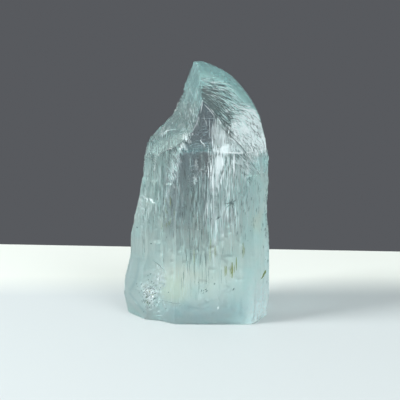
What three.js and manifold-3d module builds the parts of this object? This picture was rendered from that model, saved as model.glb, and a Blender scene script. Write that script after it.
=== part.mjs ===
// A blue topaz crystal: one striated prism that stands on its flat basal cleavage
// and ends in a leaning, chisel-shaped top with a curved break on its right.
//
// Millimetres. +X is to the right of the front, +Y is to the back, +Z is up along
// the crystal's long axis. The origin is the middle of the base.

import * as THREE from "three";
import { mergeVertices } from "three/addons/utils/BufferGeometryUtils.js";
import Module from "manifold-3d";

const wasm = await Module();
wasm.setup();

// ---- driving dimensions ----------------------------------------------------

const HEIGHT = 44.6; // base to apex
const HALF_DEPTH = 9; // middle to the front or back face

// The prism's corners seen from above, front left first and then round by the right
// to the back, as fractions of the reach to that side and of the half depth. Each face
// runs from its corner to the next one; strips is how many parallel growth strips it
// carries, relief is the most, in mm, that a strip is set back, and steps is the share
// of its strips that step back at one ledge.
const FACES = [
  { corner: [-0.33, -0.92], strips: 5, relief: 0.1, steps: 0 }, // window
  { corner: [0.23, -1.0], strips: 9, relief: 0.25, steps: 0.06 }, // front right
  { corner: [0.76, -0.9], strips: 7, relief: 0.3, steps: 0.1 }, // front right edge
  { corner: [0.97, -0.36], strips: 5, relief: 0.3, steps: 0.14 }, // right
  { corner: [1.0, 0.22], strips: 8, relief: 0.3, steps: 0.12 }, // back right
  { corner: [0.52, 0.88], strips: 9, relief: 0.25, steps: 0.12 }, // back
  { corner: [-0.3, 1.0], strips: 9, relief: 0.35, steps: 0.14 }, // back left
  { corner: [-0.86, 0.5], strips: 5, relief: 0.35, steps: 0.2 }, // left
  { corner: [-1.0, -0.1], strips: 6, relief: 0.4, steps: 0.18 }, // front left edge
  { corner: [-0.74, -0.64], strips: 8, relief: 0.35, steps: 0.12 }, // front left
];
const STRIP_BEVEL = 0.1; // how wide the slanted step between two strips is

// How far the prism reaches to the left and to the right of the axis, as [height,
// reach]. The left side steps in as it goes up; the right side is nearly upright.
const LEFT_REACH = [
  [0, 12.9], [1.6, 13.4], [4.4, 13.4], [6.8, 13.25], [9, 12.6], [11.3, 12.3],
  [15, 12.3], [18.2, 12.2], [20.4, 11.6], [20.9, 11.2], [23.9, 11], [24.8, 10.4],
  [HEIGHT, 9.6],
];
const RIGHT_REACH = [
  [0, 12.8], [2, 13.1], [14, 13], [17.2, 12.6], [20.5, 12.7], [24, 12.9],
  [28.7, 12.6], [29.1, 12.4], [HEIGHT, 12.2],
];
const TOP_DEPTH = 0.95; // the half depth at the top, as a share of that at the foot

// Heights at which some of the growth strips step back by a small ledge.
const LEDGES = [3.4, 6.9, 10.4, 14.1, 17.3, 20.6, 24.3, 27.8, 31.5, 35.2];
const LEDGE_RISE = 0.5; // height of the slope of a ledge
const LEDGE_DEPTH = 0.22; // the most that a strip steps back

// The top. Planes are given by a point on them and by the way they face.
const LEFT_TERMINATION = { point: [-1.9, -4.2, 37.4], facing: [-0.85, -0.42, 0.26] };
const LEFT_SHOULDER = [
  { point: [-5.05, 0.3, 35.2], facing: [-0.7, -0.44, 0.63] }, // long slope
  { point: [-8.55, 0.5, 31], facing: [-0.87, -0.18, 0.42] }, // rounded corner
  { point: [-9.4, 0.5, 28.4], facing: [-0.97, -0.12, 0.2] }, // side
];
const BACK_TERMINATION = { point: [0.5, -1.8, HEIGHT], facing: [-0.08, 0.95, 0.2] };
const BACK_LEDGE = { point: [0, 9, 28.6], facing: [0.03, 0.08, 1] }; // a step of the cleavage
const TIP_SLOPE = { point: [1, -1, 44.45], facing: [0.38, 0.06, 0.92] };

// The curved break on the right of the top: above its foot, each ball bounds the crystal,
// and below the foot the prism stands a little proud of it as a ledge.
const FRONT_BREAK = { centre: [-7.6, 8.7, 26.4], radius: 22.7, foot: 25.6 };
const SIDE_BREAK = { centre: [-8.3, -1, 27], radius: 20.5, foot: 28.9 };

// Below the balls the break runs down the front right edge as a flat facet.
const BREAK_TAIL = { point: [7.5, -7.9, 30.9], facing: [0.83, -0.525, 0.183] };

// The foot: the front face leans in just above the base.
const FOOT_BEVEL = { point: [0, -8.75, 3.9], facing: [0, -1, -0.16] };

// Shell-shaped chips, each by the point of the surface that it is centred on, the way
// that it faces, how wide it is across and how deep it goes.
const CHIPS = [
  { at: [-9, -6.2, 9.3], facing: [-0.5, -0.86, 0.05], across: 8, deep: 0.7 }, // left scoop
  { at: [-10.9, -4.3, 2.4], facing: [-0.72, -0.7, -0.02], across: 6.4, deep: 0.5 }, // left corner
  { at: [-7.4, -7.1, 0], facing: [-0.4, -0.75, -0.55], across: 7.5, deep: 1 }, // left foot
  { at: [-7.9, -7, 5.2], facing: [-0.45, -0.9, 0], across: 2.8, deep: 0.4 }, // crushed patch
  { at: [12.2, -3.6, 0], facing: [0.75, -0.4, -0.5], across: 3, deep: 0.25 }, // right corner
  { at: [12.7, -1.5, 17.8], facing: [1, -0.2, 0], across: 2.4, deep: 0.35 }, // right notch
  { at: [12.6, -1.5, 22.8], facing: [1, -0.2, 0], across: 1.8, deep: 0.3 }, // upper right notch
  { at: [-9.4, -4.9, 21.6], facing: [-0.6, -0.7, 0.35], across: 3.2, deep: 0.5 }, // left ledge
  { at: [-5.9, -2.4, 32.6], facing: [-0.7, -0.5, 0.55], across: 4.4, deep: 0.35 }, // shoulder scoop
  { at: [-2.9, -1.6, 38.6], facing: [-0.8, -0.3, 0.3], across: 2.4, deep: 0.3 }, // spire nick
  { at: [5, 8.4, 14], facing: [0.25, 0.97, 0.05], across: 8, deep: 0.9 }, // back scoop
  { at: [-6.5, 7.3, 0.5], facing: [-0.35, 0.8, -0.5], across: 7, deep: 1 }, // back foot
  { at: [5, 8.6, 29.2], facing: [0.2, 0.75, 0.6], across: 4.6, deep: 0.6 }, // back ledge chip
];

const COLOUR = 0xa9c9c8; // pale blue-green
const SEED = 11; // of the uneven widths and depths of the growth strips

// ---- helpers ---------------------------------------------------------------

const Z_UP = new THREE.Vector3(0, 0, 1);
const CUTTER_SIZE = 120; // larger than the crystal in every direction
const CHIP_DETAIL = 12; // how finely the ball of a chip is faceted
const BREAK_DETAIL = 19; // how finely the ball of a curved break is faceted

const random = THREE.MathUtils.seededRandom;

function between(low, high) {
  return low + (high - low) * random();
}

// A profile's value at a height, straight between its listed points.
function reachAt(profile, height) {
  const next = profile.findIndex(([listed]) => listed >= height);
  if (next === 0) {
    return profile[0][1];
  }
  const [lowHeight, lowReach] = profile[next - 1];
  const [highHeight, highReach] = profile[next];
  const share = (height - lowHeight) / (highHeight - lowHeight);
  return lowReach + (highReach - lowReach) * share;
}

// A closed geometry as a solid that can be joined and cut.
function solidFrom(geometry) {
  const bare = geometry.clone();
  bare.deleteAttribute("normal");
  bare.deleteAttribute("uv");
  const merged = mergeVertices(bare);
  return new wasm.Manifold(
    new wasm.Mesh({
      numProp: 3,
      vertProperties: new Float32Array(merged.attributes.position.array),
      triVerts: new Uint32Array(merged.index.array),
    }),
  );
}

function geometryFrom(solid) {
  const mesh = solid.getMesh();
  const geometry = new THREE.BufferGeometry();
  const positions = new THREE.BufferAttribute(mesh.vertProperties, mesh.numProp);
  geometry.setAttribute("position", positions);
  geometry.setIndex(new THREE.BufferAttribute(mesh.triVerts, 1));
  geometry.computeVertexNormals();
  return geometry;
}

// A block that fills everything on the outer side of a plane.
function beyond({ point, facing }) {
  const block = new THREE.BoxGeometry(CUTTER_SIZE, CUTTER_SIZE, CUTTER_SIZE);
  block.translate(0, 0, CUTTER_SIZE / 2);
  const outward = new THREE.Vector3(...facing).normalize();
  block.applyQuaternion(new THREE.Quaternion().setFromUnitVectors(Z_UP, outward));
  block.translate(...point);
  return solidFrom(block);
}

function ball(centre, radius, detail) {
  const geometry = new THREE.IcosahedronGeometry(radius, detail);
  geometry.translate(...centre);
  return solidFrom(geometry);
}

// ---- the prism ---------------------------------------------------------------

// Where the strips of one face end, from 0 to 1 along it, in uneven widths.
function stripEdges(count) {
  const widths = Array.from({ length: count }, () => between(0.45, 1.55));
  const total = widths.reduce((sum, width) => sum + width, 0);
  let reached = 0;
  return [0, ...widths.map((width) => (reached += width / total))];
}

// How far a strip is set back at each loft level: now and then it steps back at a ledge.
function stripDepths({ relief, steps }) {
  let depth = between(0, relief);
  const depths = [depth];
  for (let ledge = 0; ledge < LEDGES.length; ledge += 1) {
    depths.push(depth);
    if (random() < steps) {
      depth += between(0.3, 1) * LEDGE_DEPTH;
    }
    depths.push(depth);
  }
  return [...depths, depth];
}

// The strips of every face, each with its two edges on the section and its depths.
function makeStrips() {
  return FACES.flatMap((face, index) => {
    const from = new THREE.Vector2(...face.corner);
    const to = new THREE.Vector2(...FACES[(index + 1) % FACES.length].corner);
    const edges = stripEdges(face.strips);
    const bevel = STRIP_BEVEL / 2 / (from.distanceTo(to) * HALF_DEPTH);
    return edges.slice(1).map((edge, strip) => ({
      start: from.clone().lerp(to, edges[strip] + bevel),
      end: from.clone().lerp(to, edge - bevel),
      depths: stripDepths(face),
    }));
  });
}

// One point of the section at a height, set in towards the axis by a depth.
function sectionPoint(fraction, height, depth) {
  const reach = fraction.x < 0 ? LEFT_REACH : RIGHT_REACH;
  const taper = THREE.MathUtils.lerp(1, TOP_DEPTH, height / HEIGHT);
  const flat = new THREE.Vector2(
    fraction.x * reachAt(reach, height),
    fraction.y * HALF_DEPTH * taper,
  );
  flat.multiplyScalar(1 - depth / flat.length());
  return [flat.x, flat.y, height];
}

// The striated prism, lofted up through its levels and closed flat at both ends.
function prism() {
  const levels = [0, ...LEDGES.flatMap((ledge) => [ledge, ledge + LEDGE_RISE]), HEIGHT];
  const strips = makeStrips();
  const ringSize = strips.length * 2;
  const positions = [];
  levels.forEach((height, level) => {
    strips.forEach((strip) => {
      const depth = strip.depths[level];
      positions.push(...sectionPoint(strip.start, height, depth));
      positions.push(...sectionPoint(strip.end, height, depth));
    });
  });
  const bottomMiddle = positions.length / 3;
  positions.push(0, 0, 0);
  const topMiddle = bottomMiddle + 1;
  positions.push(0, 0, HEIGHT);
  const topRing = (levels.length - 1) * ringSize;
  const triangles = [];
  for (let point = 0; point < ringSize; point += 1) {
    const next = (point + 1) % ringSize;
    triangles.push(bottomMiddle, next, point);
    triangles.push(topMiddle, topRing + point, topRing + next);
    for (let level = 1; level < levels.length; level += 1) {
      const below = (level - 1) * ringSize;
      const above = level * ringSize;
      triangles.push(below + point, below + next, above + next);
      triangles.push(below + point, above + next, above + point);
    }
  }
  const geometry = new THREE.BufferGeometry();
  geometry.setAttribute("position", new THREE.Float32BufferAttribute(positions, 3));
  geometry.setIndex(triangles);
  return solidFrom(geometry);
}

// ---- the top, the foot and the chips -------------------------------------------

// What a curved break takes away: all that is above the break's foot and outside its ball.
function outsideBall({ centre, radius, foot }) {
  const aboveFoot = beyond({ point: [0, 0, foot], facing: [0, 0, 1] });
  return aboveFoot.subtract(ball(centre, radius, BREAK_DETAIL));
}

function cutTop(solid) {
  const overLeft = LEFT_SHOULDER.map(beyond).reduce((all, block) => all.add(block));
  const leftNotch = beyond(LEFT_TERMINATION).intersect(overLeft);
  const backNotch = beyond(BACK_TERMINATION).intersect(beyond(BACK_LEDGE));
  return solid
    .subtract(leftNotch)
    .subtract(backNotch)
    .subtract(beyond(TIP_SLOPE))
    .subtract(outsideBall(FRONT_BREAK))
    .subtract(outsideBall(SIDE_BREAK))
    .subtract(beyond(BREAK_TAIL));
}

// The ball that leaves a dish of this width and depth when it is cut away.
function chipBall({ at, facing, across, deep }) {
  const radius = (across ** 2 / 4 + deep ** 2) / (2 * deep);
  const outward = new THREE.Vector3(...facing).setLength(radius - deep);
  const centre = new THREE.Vector3(...at).add(outward);
  return ball(centre.toArray(), radius, CHIP_DETAIL);
}

function cutChips(solid) {
  return CHIPS.reduce((rest, chip) => rest.subtract(chipBall(chip)), solid);
}

// Puts the middle of the shape's box over the origin.
function centreOverOrigin(geometry) {
  geometry.computeBoundingBox();
  const middle = geometry.boundingBox.getCenter(new THREE.Vector3());
  return geometry.translate(-middle.x, -middle.y, 0);
}

function makeCrystal() {
  const solid = cutChips(cutTop(prism()).subtract(beyond(FOOT_BEVEL)));
  const material = new THREE.MeshStandardMaterial({
    color: COLOUR,
    roughness: 0.15,
    metalness: 0,
  });
  const mesh = new THREE.Mesh(centreOverOrigin(geometryFrom(solid)), material);
  mesh.name = "crystal";
  return mesh;
}

random(SEED);
const crystal = new THREE.Group();
crystal.add(makeCrystal());

export default crystal;
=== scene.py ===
# A blue topaz crystal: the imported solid, remeshed and given its fine surface.
import math
import random
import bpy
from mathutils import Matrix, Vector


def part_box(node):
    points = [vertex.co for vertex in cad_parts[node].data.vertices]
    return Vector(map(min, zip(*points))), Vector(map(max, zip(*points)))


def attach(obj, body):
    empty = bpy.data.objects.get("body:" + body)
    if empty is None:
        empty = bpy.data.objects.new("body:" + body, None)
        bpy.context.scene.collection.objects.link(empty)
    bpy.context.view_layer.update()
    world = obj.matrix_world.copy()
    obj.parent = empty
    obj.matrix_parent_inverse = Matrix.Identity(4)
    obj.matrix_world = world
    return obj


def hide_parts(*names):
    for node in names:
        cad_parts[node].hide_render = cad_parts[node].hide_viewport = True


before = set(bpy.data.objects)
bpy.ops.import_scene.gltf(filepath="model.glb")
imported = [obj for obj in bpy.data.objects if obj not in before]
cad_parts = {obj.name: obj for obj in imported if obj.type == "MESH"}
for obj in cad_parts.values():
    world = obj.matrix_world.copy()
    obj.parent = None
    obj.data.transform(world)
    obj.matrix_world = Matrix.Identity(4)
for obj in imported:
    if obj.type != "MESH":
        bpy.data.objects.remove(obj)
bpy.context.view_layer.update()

from types import SimpleNamespace

import bmesh
import bpy
import numpy as np
from mathutils import Vector
from mathutils.bvhtree import BVHTree

MM = 0.001
LOW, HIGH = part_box("crystal")
HEIGHT = HIGH.z - LOW.z
NOISE_ROUGHNESS = 0.6  # of the noise textures

# ---- materials and shader nodes ----


def feed(node, values):
    """Links each named input to a socket, or sets it to a number or a colour."""
    for name, value in values.items():
        socket = node.inputs[name]
        if isinstance(value, bpy.types.NodeSocket):
            socket.id_data.links.new(value, socket)
        else:
            socket.default_value = (*value, 1) if isinstance(value, tuple) else value


def add_node(owner, kind, values=None):
    """A new shader node in a material or a world."""
    node = owner.node_tree.nodes.new("ShaderNode" + kind)
    feed(node, values or {})
    return node


def feed_shader(material, values):
    feed(material.node_tree.nodes["Principled BSDF"], values)


def plain_material(name, colour, roughness):
    material = bpy.data.materials.new(name)
    material.use_nodes = True
    feed_shader(material, {"Base Color": colour, "Roughness": roughness})
    return material


def arithmetic(owner, operation, first, second):
    """The result of a Math node."""
    node = add_node(owner, "Math", {0: first, 1: second})
    node.operation = operation
    return node.outputs["Value"]


def product(owner, first, second):
    return arithmetic(owner, "MULTIPLY", first, second)


def remapped(owner, value, source, target, interpolation="LINEAR"):
    """The value, with the source range turned into the target range."""
    names = ("Value", "From Min", "From Max", "To Min", "To Max")
    node = add_node(owner, "MapRange", dict(zip(names, (value, *source, *target))))
    node.interpolation_type = interpolation
    return node.outputs["Result"]


def colour_mix(owner, first, second, factor):
    """The first colour, turning into the second as the factor rises to 1."""
    blend = add_node(owner, "Mix")
    blend.data_type = "RGBA"
    feed(blend, {"A": first, "B": second, "Factor": factor})
    return blend.outputs["Result"]


def coordinates(owner, kind):
    """The X, Y and Z outputs of a texture coordinate of this kind."""
    place = add_node(owner, "TexCoord")
    return add_node(owner, "SeparateXYZ", {"Vector": place.outputs[kind]}).outputs


def stored(material, name, output="Fac"):
    node = add_node(material, "Attribute")
    node.attribute_name = name
    return node.outputs[output]


def stretched_noise(material, source, stretch, detail):
    """A noise texture whose cells are stretch wide, in the units of its source."""
    scale = [1 / width for width in stretch]
    mapped = add_node(material, "Mapping", {"Vector": source, "Scale": scale}).outputs["Vector"]
    values = {"Vector": mapped, "Scale": 1, "Detail": detail, "Roughness": NOISE_ROUGHNESS}
    return add_node(material, "TexNoise", values).outputs["Fac"]


def add_object(name, vertices, faces, material):
    mesh = bpy.data.meshes.new(name)
    mesh.from_pydata(vertices, [], faces)
    mesh.update()
    mesh.materials.append(material)
    piece = bpy.data.objects.new(name, mesh)
    bpy.context.scene.collection.objects.link(piece)
    return piece


# ---- the stage, the lights and the camera ----

CAMERA_RISE = math.radians(12)
CAMERA_DISTANCE = 194.4 * MM
CAMERA_LENS = 100
CAMERA_CLIP = 0.01
AIM = Vector((0.5 * MM, 0, 0.453 * HEIGHT))

FLOOR_BACK = 44.8 * MM  # from the crystal to the floor's far edge
FLOOR_REACH = 0.9  # to the front and to both sides
FLOOR_TURN = math.radians(4.2)  # how far the far edge is turned from level
FLOOR_ROUGHNESS = 0.5
# Its colour in front and at the back, and the shares of FLOOR_BACK where it turns.
FLOOR_COLOURS = ((0.66, 0.715, 0.72), (0.86, 0.9, 0.845))
FLOOR_TURNING = (0.2, 0.5)

STUDIO = (0.44, 0.47, 0.48)
ROOM = (0.22, 0.24, 0.25)
BACKDROP = (0.097, 0.102, 0.112)
# Soft borders, as parts of a direction: full up to the first number, gone at the second.
ROOM_EDGE = (-0.9, -0.6)  # the dim room, round from the camera's side
BACKDROP_SIDE = (0.27, 0.38)  # the dark backdrop, to either side
BACKDROP_TOP = (0.12, 0.3)  # and upwards

# The square area lights: name, place and width in metres, and power in watts.
LIGHTS = [
    ("key", (-0.45, -0.13, 0.34), 0.22, 3.2),
    ("fill", (0.3, -0.45, 0.42), 0.4, 1.9),
]


def floor_material():
    material = plain_material("floor", FLOOR_COLOURS[0], FLOOR_ROUGHNESS)
    backward = coordinates(material, "Object")["Y"]
    ramp = add_node(material, "ValToRGB")
    for stop, position, colour in zip(ramp.color_ramp.elements, FLOOR_TURNING, FLOOR_COLOURS):
        stop.position = position
        stop.color = (*colour, 1)
    feed(ramp, {"Fac": product(material, backward, 1 / FLOOR_BACK)})
    feed_shader(material, {"Base Color": ramp.outputs["Color"]})
    return material


def add_floor():
    turn = FLOOR_REACH * math.tan(FLOOR_TURN)
    corners = [
        (-FLOOR_REACH, -FLOOR_REACH, 0),
        (FLOOR_REACH, -FLOOR_REACH, 0),
        (FLOOR_REACH, FLOOR_BACK - turn, 0),
        (-FLOOR_REACH, FLOOR_BACK + turn, 0),
    ]
    floor = add_object("floor", corners, [(0, 1, 2, 3)], floor_material())


def soft_limit(owner, value, edge):
    """One up to the edge's first number, falling smoothly to nothing at its second."""
    return remapped(owner, value, edge, (1, 0), "SMOOTHSTEP")


def add_world():
    """A pale studio all round, with a plain dark backdrop only behind the crystal."""
    world = bpy.data.worlds.new("studio")
    bpy.context.scene.world = world
    world.use_nodes = True
    direction = coordinates(world, "Generated")
    sideways = arithmetic(world, "ABSOLUTE", direction["X"], 0)
    inside = soft_limit(world, sideways, BACKDROP_SIDE)
    below = soft_limit(world, direction["Z"], BACKDROP_TOP)
    behind = arithmetic(world, "GREATER_THAN", direction["Y"], 0)
    share = product(world, product(world, inside, below), behind)
    ahead = soft_limit(world, direction["Y"], ROOM_EDGE)
    dimmed = colour_mix(world, STUDIO, ROOM, ahead)
    background = world.node_tree.nodes["Background"]
    feed(background, {"Color": colour_mix(world, dimmed, BACKDROP, share)})


def add_area_light(name, place, width, power):
    light = bpy.data.lights.new(name, "AREA")
    light.size = width
    light.energy = power
    holder = bpy.data.objects.new(name, light)
    holder.location = place
    holder.rotation_euler = (AIM - Vector(place)).to_track_quat("-Z", "Y").to_euler()
    holder.visible_camera = False
    bpy.context.scene.collection.objects.link(holder)


def add_camera():
    data = bpy.data.cameras.new("camera")
    data.lens = CAMERA_LENS
    data.clip_start = CAMERA_CLIP
    camera = bpy.data.objects.new("camera", data)
    back = Vector((0, -math.cos(CAMERA_RISE), math.sin(CAMERA_RISE)))
    camera.location = AIM + back * CAMERA_DISTANCE
    camera.rotation_euler = (math.pi / 2 - CAMERA_RISE, 0, 0)
    bpy.context.scene.collection.objects.link(camera)
    bpy.context.scene.camera = camera


# ---- noise that is the same in every run ----

# Whole numbers that mix a cell's place and the seed into a random number.
CELL_FACTORS = (73856093, 19349663, 83492791)
SEED_FACTOR = 2654435761
MIXING_STEPS = ((13, 1274126177), (15, 668265263))
MIXING_MASK = 0x7FFFFFFF
RESULT_MASK = 0xFFFF

# Noises: size of the widest lumps in mm (one number, or x, y and z), seed, octaves and, for
# some, the span of the noise that is stretched from 0 to 1.
DENTS = (5, 5, 2)
WARPING = (2.6, 41, 3)
PITS = (1.1, 71, 3, (0.62, 0.8))
LUMPS = ((2.2, 2.2, 3.4), 81, 3)
BLOCKS = ((1.5, 1.5, 2.4), 83, 3)
FOLDS = ((1.8, 1.8, 3.6), 87, 2)
CHIPS = ((0.9, 0.9, 1.4), 89, 3, (0.45, 0.65))
FROSTING = ((1.4, 1.4, 4), 91, 3)
CRUSHING = (0.55, 95, 3)
WEAR = ((1, 1, 1.3), 97, 3)
STREAKS = ((2.5, 2.5, 6), 101, 3, (0.35, 0.65))
CLOUDS = (3, 131, 3, (0.3, 0.7))
PATCHY = (1.8, 133, 3, (0.35, 0.7))
BORDER = (2, 137, 3)
MOTTLING = ((1.5, 1.5, 2.3), 139, 3, (0.45, 0.6))
CRUMBS = ((0.42, 0.42, 0.5), 141, 1)
CRUMBLING = (0.9, 143, 3, (0.3, 0.5))
SLOPE_MARKS = ((1, 1, 2.2), 145, 3, (0.3, 0.6))
SPOTS = (0.9, 147, 3, (0.4, 0.6))
FOOT_LUMPS = (1, 151, 2)


def smoothed(share):
    return share * share * (3 - 2 * share)


def rising(span, value):
    """Nothing up to the span's first number, rising smoothly to one at its second."""
    low, high = span
    return smoothed(np.clip((value - low) / (high - low), 0, 1))


def falling(span, value):
    return 1 - rising(span, value)


def lattice(cells, seed):
    """A random number from 0 to 1 for every cell."""
    mixed = seed * SEED_FACTOR
    for axis, factor in enumerate(CELL_FACTORS):
        mixed = mixed ^ cells[:, axis] * factor
    mixed = mixed & MIXING_MASK
    for shift, factor in MIXING_STEPS:
        mixed = (mixed ^ mixed >> shift) * factor & MIXING_MASK
    return (mixed >> 8 & RESULT_MASK) / RESULT_MASK


def value_noise(places, seed):
    """Smooth noise from 0 to 1, with cells one unit wide."""
    low = np.floor(places).astype(np.int64)
    share = smoothed(places - low)
    total = np.zeros(len(places))
    for corner in np.ndindex(2, 2, 2):
        weight = np.ones(len(places))
        for axis in range(3):
            weight *= share[:, axis] if corner[axis] else 1 - share[:, axis]
        total += weight * lattice(low + np.array(corner), seed)
    return total


def noise(kind, places):
    """One of the noises above at the places (mm), from 0 to 1."""
    size, seed, octaves, *spans = kind
    places = places / size
    total = np.zeros(len(places))
    reach = 0
    for octave in range(octaves):
        share = 0.5 ** octave
        total += share * value_noise(places * 2 ** octave, seed + octave)
        reach += share
    value = total / reach
    for span in spans:
        value = rising(span, value)
    return value


def creases(places, seed):
    """Noise from 0 to 1 that rises to sharp crests."""
    return 1 - np.abs(2 * value_noise(places, seed) - 1)


# ---- where the crystal's kinds of surface lie ----

# The middle of the arcs of the curved break, as x and z in mm.
BREAK_HUB = (-1.5, 27)
# How far from the hub the hackled part of the break reaches: x and distance, in mm.
HACKLE_RIM = [(3, 15.7), (7.3, 14.5), (10.4, 14.3), (12.5, 15.5)]
# The left border of the clear window in the front: height and x, in mm.
WINDOW_LINE = [(14, -8), (17, -6.3), (26, -4.6), (32.3, -1.8), (38, 0.6)]

# Spans over which one kind of surface or look gives way to another.
# How far up a face looks, as the upright part of its normal:
LEANING = (0.12, 0.19)
SLOPING_LEFT = (0.13, 0.2)
SLOPING_RIGHT = (0.13, 0.22)
LEDGE_TOP = (0.5, 0.8)
LEVEL = (0.6, 0.8)
# Where else it looks:
FACING_RIGHT = (-0.2, 0.1)
FACING_FRONT = (0.2, 0.5)
FACING_BACK = (0.3, 0.6)
# Heights in mm, from the foot upwards:
FOOT = (0.25, 0.9)
UNEVEN_FOOT = (1.2, 3.2)
BLUE_FOOT = (2.5, 5.5)
GROWTH_LINES = (5, 17)
HAZE = (8, 16)
MILKY_PART = (9, 26)
WINDOW_FOOT = (13, 24)
DULL_RIGHT = (13, 19)
ASHEN_PART = (14, 22)
FROSTED_BACK = (18, 28)
CALM_RIGHT = (21, 25)
SLATE_WINDOW = (22, 29)
FROSTED_LEDGES = (24, 26)
BREAK_FOOT = (25, 27)
LEFT_TOP_FOOT = (25, 27.5)
DARK_SLOPE = (27, 30)
PRISM_TOP = (28, 28.4)
HACKLES_FOOT = (28.5, 29.5)
BREAK_LEDGES = (29.5, 30.5)
TEAL_TIP = (34, 40)
SHOULDER = (34.5, 37)
DARK_SLOPE_TOP = (38, 40)
SPIRE = (38.5, 41)
# From left to right, in mm:
BLUE_FOOT_LEFT = (-7, -3)
WINDOW_LEFT = (-0.8, 0.6)
LEFT_TOP_RIGHT = (0.2, 1)
BREAK_LEFT = (0.3, 1.2)
WINDOW_RIGHT = (2.4, 3.4)
BRIGHT_SIDE = (2.9, 3.8)
CALM_SIDE = (3.5, 6.5)
DULL_SIDE = (6, 9)
# From the hub of the break outwards, in mm, and round it, in degrees:
RIM_WIDTH = (-0.6, 0.3)
BRIGHT_RIM = (8.5, 10)
LOW_FAN = (46, 56)
# Shares of a noise:
PALE_CRUMBS = (0.5, 0.62)
DARK_CRUMBS = (0.34, 0.44)
TERRACE_RISER = (0.7, 1)
# Shares of a patch's reach:
PATCH_RIM = (0.3, 1)

# Patches of the surface: x and z of the middle, and reach sideways and upwards, in mm.
SCOOP = ((-9, 9.3), (4.2, 4))
RAGGED_EDGE = ((-10, 18.5), (4.6, 6))
WORN_CORNER = ((11.2, 3.6), (4.2, 8))
CHIPPED_EDGE = ((12.6, 18.5), (1.8, 9))
SMOOTH = ((10.6, 27.7), (2.3, 2))
WARM_MIDDLE = ((-2.5, 7), (8, 6))
WARM_RIGHT = ((10.6, 17.6), (2, 2.8))
# painted glow, where the pale floor's light shows through the crystal
GLOWING = ((-4, 6.2), (3.6, 3.4))
LEFT_FOOT = ((-12.2, 5), (4.2, 7))
LEFT_FLANK = ((-6.3, 24), (4.2, 10))
# painted shade on the right flank
RIGHT_FLANK = ((8.8, 23.4), (2.6, 3.8))
BY_WINDOW = ((-4.3, 22), (2.8, 8.5))
IN_WINDOW = ((1.1, 28.4), (2.3, 3))
# painted light, beside the star
BY_STAR = ((5.8, 19.8), (2.6, 7))
MOTTLED = ((-1.2, 19.5), (6.5, 11))
# Middles of the crushed patch low on the left, as x and z, and the reach of each, in mm.
CRUSHED = [(-6.6, 7.4), (-7.6, 5.5), (-8.6, 3.9)]
CRUSHED_REACH = (1.6, 2)


def terraced(value, steps):
    """The same value, but rising in flat steps with short risers."""
    scaled = value * steps
    whole = np.floor(scaled)
    return (whole + rising(TERRACE_RISER, scaled - whole)) / steps


def near(patch, places):
    """One at the patch's middle, falling to nothing at its reach."""
    middle, reach = patch
    across = (places[:, 0] - middle[0]) / reach[0]
    up = (places[:, 2] - middle[1]) / reach[1]
    return falling(PATCH_RIM, np.hypot(across, up))


def line_shade(places, points, reach):
    """One on a line through the points (x and z in mm), falling to nothing at the reach."""
    flat = places[:, (0, 2)]
    nearest = np.full(len(flat), np.inf)
    for start, end in zip(points, points[1:]):
        start, along = np.array(start), np.array(end) - start
        share = np.clip((flat - start) @ along / (along @ along), 0, 1)
        gap = np.linalg.norm(flat - start - share[:, None] * along, axis=1)
        nearest = np.minimum(nearest, gap)
    return falling((0, reach), nearest)


def follow(points, value):
    """The second number of the points where the first is this value, in straight runs."""
    known, wanted = zip(*points)
    return np.interp(value, known, wanted)


def polar_about_hub(places):
    """Distance (mm) and heading (radians, from the right upwards) from the break's hub."""
    across = places[:, 0] - BREAK_HUB[0]
    up = places[:, 2] - BREAK_HUB[1]
    return np.hypot(across, up), np.arctan2(up, across)


def top_of_ledge(places, normals):
    """One on the flat tops of the ledges below the break."""
    z = places[:, 2]
    top = rising(LEDGE_TOP, normals[:, 2]) * rising(BREAK_FOOT, z)
    return top * falling(BREAK_LEDGES, z)


def main_masks(places, normals):
    """How much of each main kind of surface a point is, from 0 to 1."""
    x, y, z = places.T
    sideways, backward, upward = normals.T
    steep = falling(LEANING, np.abs(upward))
    curved = rising(BREAK_FOOT, z) * rising(SLOPING_RIGHT, upward) * rising(BREAK_LEFT, x)
    curved *= rising(FACING_RIGHT, 0.6 * sideways - backward)
    back = rising(FACING_BACK, backward)
    front = rising(FACING_FRONT, -backward)
    window = rising(WINDOW_LEFT, x - follow(WINDOW_LINE, z)) * falling(WINDOW_RIGHT, x)
    window *= front * rising(WINDOW_FOOT, z) * steep
    left_top = rising(LEFT_TOP_FOOT, z) * falling(LEFT_TOP_RIGHT, x)
    left_top *= rising(SLOPING_LEFT, upward) * (1 - back)
    low = falling(PRISM_TOP, z) * falling(LEVEL, np.abs(upward))
    shoulder = left_top * falling(SHOULDER, z)
    walls = np.maximum(steep, np.maximum(low * (1 - curved) * (1 - left_top), shoulder))
    return SimpleNamespace(
        steep=steep, walls=walls, curved=curved, back=back, front=front, window=window,
        left_top=left_top - shoulder, shoulder=shoulder, foot=falling(FOOT, z),
        spire=rising(SPIRE, z),
    )


def add_small_masks(masks, places):
    """Adds how much of each smaller kind of surface a point is."""
    x, y, z = places.T
    distance, heading = polar_about_hub(places)
    inside_rim = falling(RIM_WIDTH, distance - follow(HACKLE_RIM, x))
    masks.hackled = inside_rim * rising(HACKLES_FOOT, z)
    crushed = np.max([near((middle, CRUSHED_REACH), places) for middle in CRUSHED], axis=0)
    masks.crushed = crushed * noise(CRUMBLING, places) * masks.front
    masks.scoop = near(SCOOP, places) * masks.front
    calm = 0.55 * rising(CALM_SIDE, x) * falling(CALM_RIGHT, z)
    masks.grown = (0.1 + 0.9 * rising(GROWTH_LINES, z)) * (1 - 0.8 * masks.scoop)
    masks.grown *= 1 - calm * masks.front
    masks.ragged = near(RAGGED_EDGE, places) * (1 - masks.back)
    masks.worn = near(WORN_CORNER, places) * (1 - masks.back)
    masks.chipped = near(CHIPPED_EDGE, places) * (1 - masks.back)


# ---- the crystal's relief ----

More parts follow.
